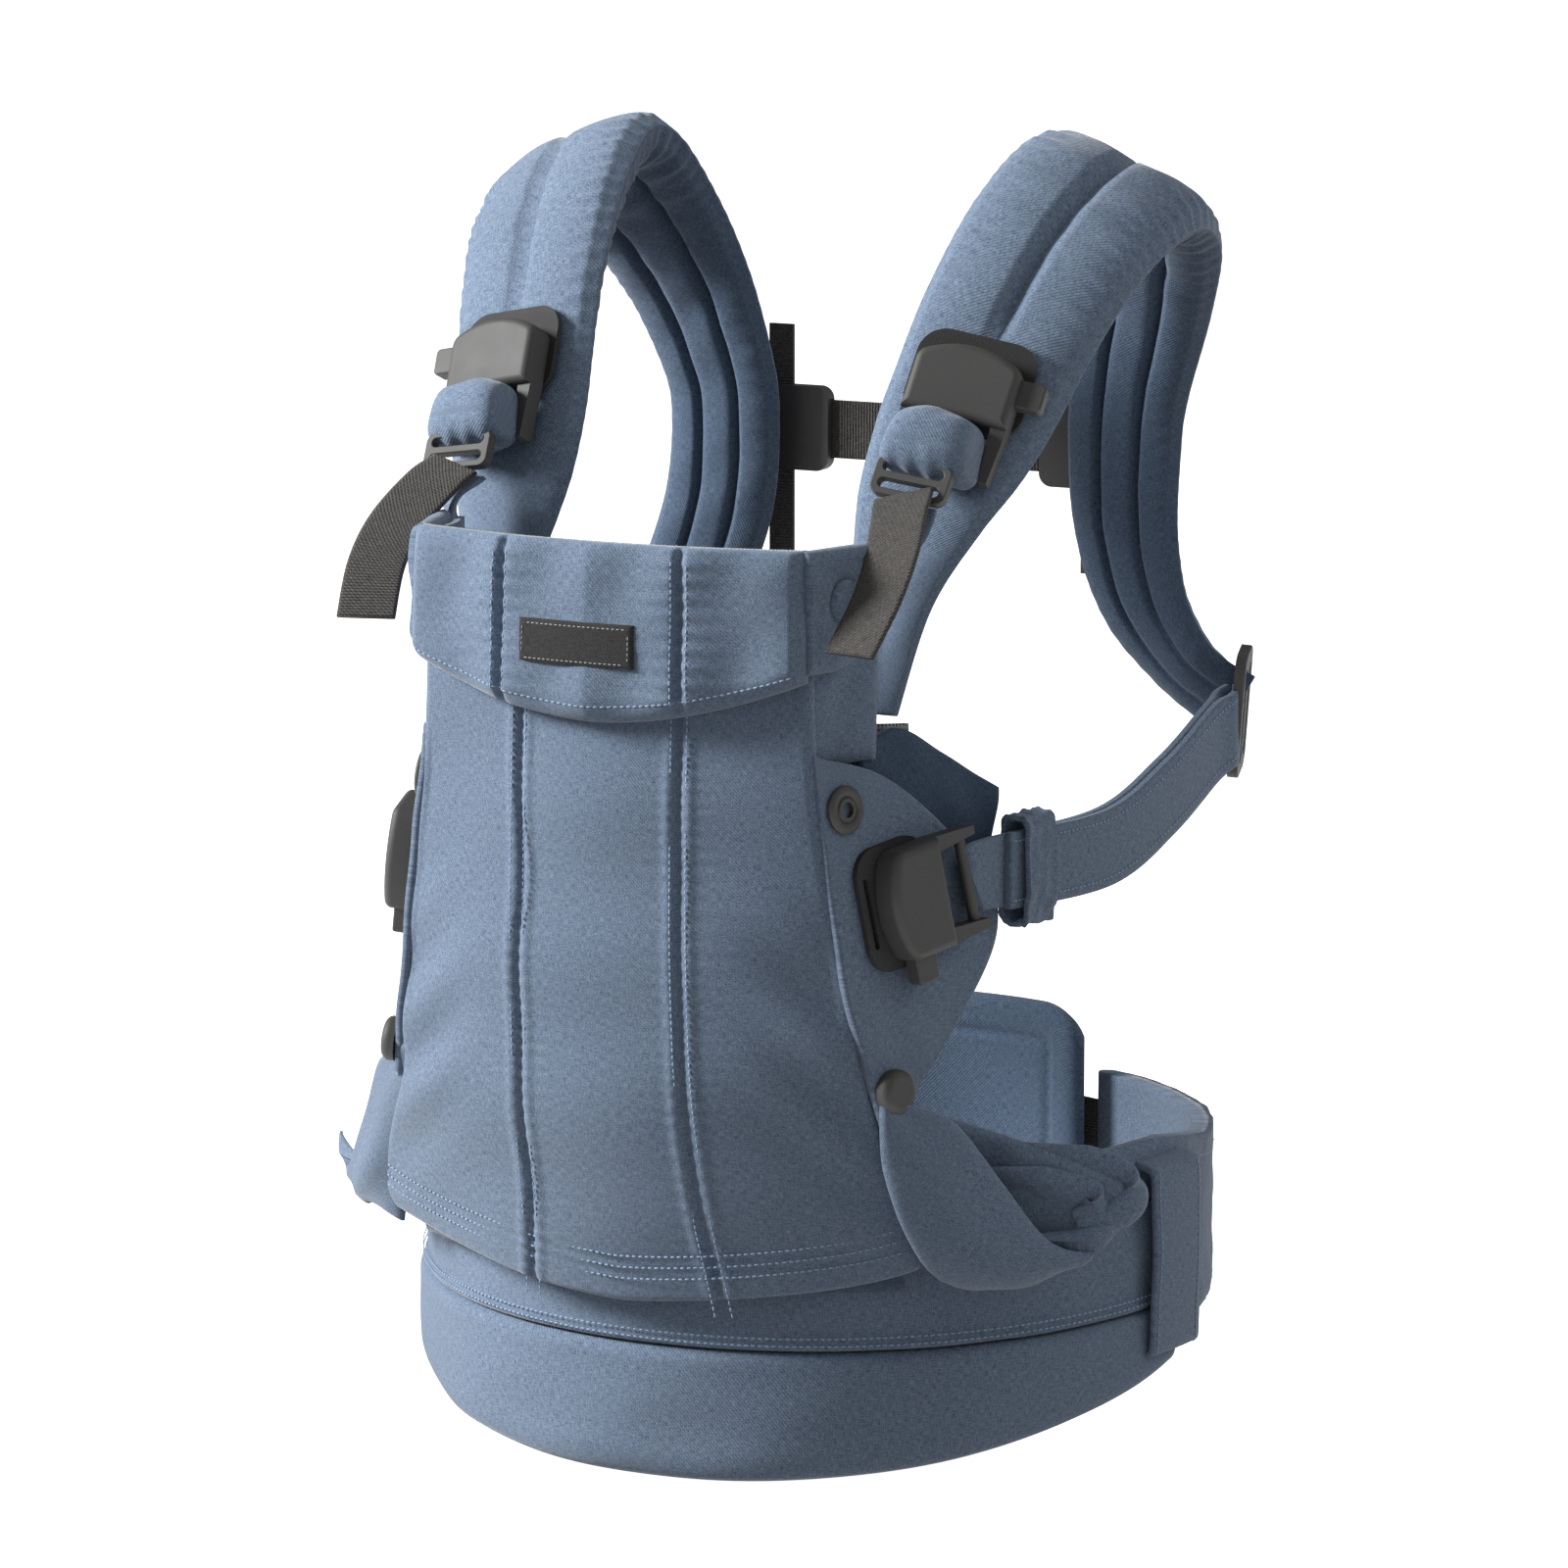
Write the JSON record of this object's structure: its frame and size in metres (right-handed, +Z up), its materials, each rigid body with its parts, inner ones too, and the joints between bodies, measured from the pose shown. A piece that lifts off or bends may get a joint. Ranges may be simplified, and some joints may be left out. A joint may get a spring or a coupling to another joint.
{
  "type": "soft baby carrier",
  "caption": "Soft front baby carrier in blue twill: padded front panel with fold-down head support, looped shoulder straps, side buckles and a waist belt with lumbar pad.",
  "frame": {"origin": "centre of the waist opening, at about half the height of the waist belt", "axes": "+Z up as worn, the front panel faces -Y, +X is the wearer's left"},
  "size_m": [0.373, 0.3894, 0.5547],
  "materials": {
    "outer_fabric": "heathered blue woven twill",
    "inner_fabric": "dark blue jersey",
    "foam": "soft polyester wadding",
    "spacer_mesh": "grey open spacer mesh",
    "label": "dark woven patch, bare",
    "webbing": "ribbed polyester webbing",
    "moulded_plastic": "moulded acetal, fine matt texture"
  },
  "bodies": {
    "carrier": {"front_panel_cover": "outer_fabric", "front_panel_padding": "foam", "front_panel_lining": "inner_fabric", "panel_sides": "outer_fabric", "wing_left": "outer_fabric", "wing_right": "outer_fabric", "wing_linings": "inner_fabric", "mesh_gussets": "spacer_mesh", "leg_lobe_left": "outer_fabric", "leg_lobe_right": "outer_fabric", "eyelets": "moulded_plastic", "seat_knobs": "moulded_plastic", "shoulder_buckle_bases": "moulded_plastic", "shoulder_buckle_left": "moulded_plastic", "shoulder_buckle_right": "moulded_plastic", "side_buckle_bases": "moulded_plastic", "side_buckle_left": "moulded_plastic", "side_buckle_right": "moulded_plastic", "shoulder_pad_left": "outer_fabric", "shoulder_pad_right": "outer_fabric", "back_rails": "webbing", "padded_loops": "outer_fabric", "anchor_straps": "outer_fabric", "adjuster_tail_left": "webbing", "adjuster_tail_right": "webbing", "side_strap_left": "outer_fabric", "side_strap_right": "outer_fabric", "strap_returns": "outer_fabric", "waist_belt_left": "outer_fabric", "waist_belt_right": "outer_fabric", "belt_band": "outer_fabric", "stomach_flap": "outer_fabric", "waist_webbing_left": "webbing", "waist_webbing_right": "webbing", "waist_buckle_socket": "moulded_plastic", "waist_buckle_insert": "moulded_plastic"},
    "head_support": {"head_support": "outer_fabric", "label_patch": "label"},
    "head_support_end_left": {"head_support_side_left": "outer_fabric", "flap_button_left": "outer_fabric"},
    "head_support_end_right": {"head_support_side_right": "outer_fabric", "flap_button_right": "outer_fabric"},
    "shoulder_tab_left": {"shoulder_release_tab_left": "moulded_plastic"},
    "side_tab_left": {"side_release_tab_left": "moulded_plastic"},
    "ladder_left": {"ladder_lock_left": "moulded_plastic"},
    "hip_slider_left": {"hip_slider_left": "moulded_plastic"},
    "strap_keeper_left": {"strap_keeper_left": "outer_fabric"},
    "shoulder_tab_right": {"shoulder_release_tab_right": "moulded_plastic"},
    "side_tab_right": {"side_release_tab_right": "moulded_plastic"},
    "ladder_right": {"ladder_lock_right": "moulded_plastic"},
    "hip_slider_right": {"hip_slider_right": "moulded_plastic"},
    "strap_keeper_right": {"strap_keeper_right": "outer_fabric"},
    "back_strap": {"back_strap": "webbing", "back_sliders": "moulded_plastic"},
    "lumbar": {"lumbar_pad": "outer_fabric", "lumbar_loops": "outer_fabric"},
    "waist_button": {"waist_buckle_button": "moulded_plastic"},
    "belt_keeper_left": {"belt_keeper_left": "outer_fabric"},
    "belt_keeper_right": {"belt_keeper_right": "outer_fabric"}
  },
  "joints": [
    {"name": "head_support_fold", "type": "hinge", "parent": "carrier", "child": "head_support", "pos_m": [0, -0.197, 0.315], "axis": [-1, 0, 0], "range_deg": [0, 180]},
    {"name": "head_support_end_left_fold", "type": "hinge", "parent": "carrier", "child": "head_support_end_left", "pos_m": [0.08428, -0.1902, 0.315], "axis": [-0.3007, -0.9537, 0], "range_deg": [0, 180], "deforming": ["adjuster_tail_left"]},
    {"name": "head_support_end_right_fold", "type": "hinge", "parent": "carrier", "child": "head_support_end_right", "pos_m": [-0.08428, -0.1902, 0.315], "axis": [-0.3007, 0.9537, 0], "range_deg": [0, 180], "deforming": ["adjuster_tail_right"]},
    {"name": "shoulder_tab_left_press", "type": "slide", "parent": "carrier", "child": "shoulder_tab_left", "axis": [-0.9671, -0.1666, 0.192], "range_m": [0, 0.0035], "stiffness_N_per_m": 900},
    {"name": "side_tab_left_press", "type": "slide", "parent": "carrier", "child": "side_tab_left", "axis": [-0.1614, -0.0949, 0.9823], "range_m": [0, 0.0035], "stiffness_N_per_m": 900},
    {"name": "ladder_left_tilt", "type": "hinge", "parent": "carrier", "child": "ladder_left", "pos_m": [0.10662, -0.1296, 0.34233], "axis": [0.9854, 0.0879, -0.1461], "range_deg": [-8, 20]},
    {"name": "hip_slider_left_tilt", "type": "hinge", "parent": "carrier", "child": "hip_slider_left", "pos_m": [0.1525, 0.099, 0.211], "axis": [0.1131, -0.0946, 0.9891], "range_deg": [-12, 12]},
    {"name": "strap_keeper_left_slide", "type": "slide", "parent": "carrier", "child": "strap_keeper_left", "axis": [0.1791, 0.9838, -0.0061], "range_m": [-0.0015, 0.012]},
    {"name": "shoulder_tab_right_press", "type": "slide", "parent": "carrier", "child": "shoulder_tab_right", "axis": [0.9671, -0.1666, 0.192], "range_m": [0, 0.0035], "stiffness_N_per_m": 900},
    {"name": "side_tab_right_press", "type": "slide", "parent": "carrier", "child": "side_tab_right", "axis": [0.1614, -0.0949, 0.9823], "range_m": [0, 0.0035], "stiffness_N_per_m": 900},
    {"name": "ladder_right_tilt", "type": "hinge", "parent": "carrier", "child": "ladder_right", "pos_m": [-0.10662, -0.1296, 0.34233], "axis": [0.9854, -0.0879, 0.1461], "range_deg": [-8, 20]},
    {"name": "hip_slider_right_tilt", "type": "hinge", "parent": "carrier", "child": "hip_slider_right", "pos_m": [-0.1525, 0.099, 0.211], "axis": [0.1131, 0.0946, -0.9891], "range_deg": [-12, 12]},
    {"name": "strap_keeper_right_slide", "type": "slide", "parent": "carrier", "child": "strap_keeper_right", "axis": [-0.1791, 0.9838, -0.0061], "range_m": [-0.0015, 0.012]},
    {"name": "back_strap_slide", "type": "slide", "parent": "carrier", "child": "back_strap", "axis": [0, 0, 1], "range_m": [-0.025, 0.02]},
    {"name": "lumbar_pad_shift", "type": "hinge", "parent": "carrier", "child": "lumbar", "pos_m": [0, 0, 0], "axis": [0, 0, 1], "range_deg": [-5, 5]},
    {"name": "waist_button_press", "type": "slide", "parent": "carrier", "child": "waist_button", "axis": [0, -1, 0], "range_m": [0, 0.002], "stiffness_N_per_m": 900},
    {"name": "belt_keeper_left_slide", "type": "hinge", "parent": "carrier", "child": "belt_keeper_left", "pos_m": [0, 0, 0], "axis": [0, 0, 1], "range_deg": [-3, 3]},
    {"name": "belt_keeper_right_slide", "type": "hinge", "parent": "carrier", "child": "belt_keeper_right", "pos_m": [0, 0, 0], "axis": [0, 0, 1], "range_deg": [-3, 3]}
  ],
  "couplings": [
    {"joint": "head_support_end_left_fold", "follows": "head_support_fold", "ratio": 1},
    {"joint": "head_support_end_right_fold", "follows": "head_support_fold", "ratio": 1}
  ]
}
